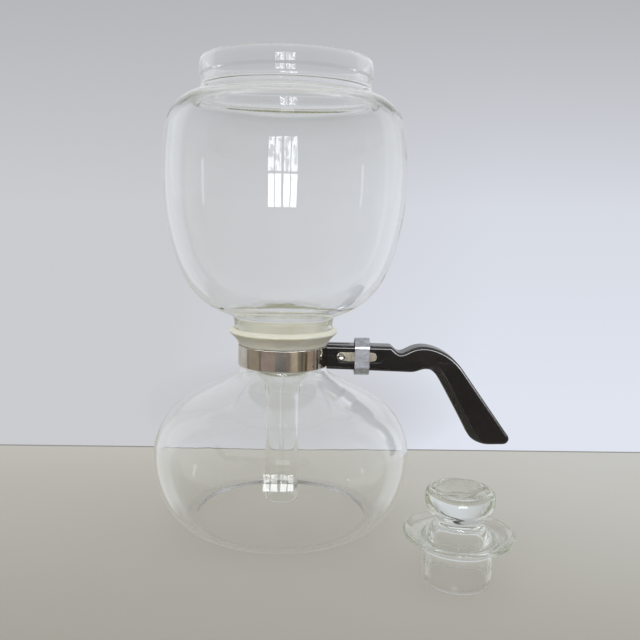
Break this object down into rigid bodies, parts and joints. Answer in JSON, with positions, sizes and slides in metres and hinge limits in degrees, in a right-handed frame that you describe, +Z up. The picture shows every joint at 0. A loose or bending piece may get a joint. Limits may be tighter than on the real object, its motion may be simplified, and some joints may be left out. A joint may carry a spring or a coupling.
{
  "type": "siphon coffee maker",
  "caption": "Glass siphon coffee maker: flat decanter with banded bakelite handle, upper vessel with long stem in a rubber gasket, glass filter rod and loose lid.",
  "frame": {"origin": "centre of the decanter's flat base, on the vertical axis of both glass vessels", "axes": "+Z up along the vessels' common axis, +X along the handle, away from the neck; the front is -Y"},
  "size_m": [0.2383, 0.2035, 0.3002],
  "materials": {
    "clear_glass": "polished",
    "filter_glass": "polished",
    "lid_glass": "polished",
    "band_chrome": "polished",
    "bakelite": "gloss",
    "strip_steel": "satin",
    "rivet_steel": "satin",
    "ring_steel": "satin, worn",
    "gasket_rubber": "matte"
  },
  "bodies": {
    "decanter": {"lower_bowl": "clear_glass", "neck_band": "band_chrome", "handle": "bakelite", "strip_near": "strip_steel", "strip_far": "strip_steel", "band_rivet": "rivet_steel"},
    "ring": {"clamp_ring": "ring_steel"},
    "upper_vessel": {"upper_bowl": "clear_glass", "gasket": "gasket_rubber"},
    "filter": {"filter_rod": "filter_glass"},
    "lid": {"lid": "lid_glass"}
  },
  "joints": [
    {"name": "ring_slide", "type": "slide", "parent": "decanter", "child": "ring", "axis": [1, 0, 0], "range_m": [-0.005, 0.013]},
    {"name": "upper_vessel_lift", "type": "slide", "parent": "decanter", "child": "upper_vessel", "axis": [0, 0, 1], "range_m": [0, 0.125]},
    {"name": "filter_lift", "type": "slide", "parent": "upper_vessel", "child": "filter", "axis": [0, 0, 1], "range_m": [0, 0.29]},
    {"name": "lid_lift", "type": "slide", "parent": "decanter", "child": "lid", "axis": [0, 0, 1], "range_m": [0, 0.12]}
  ]
}
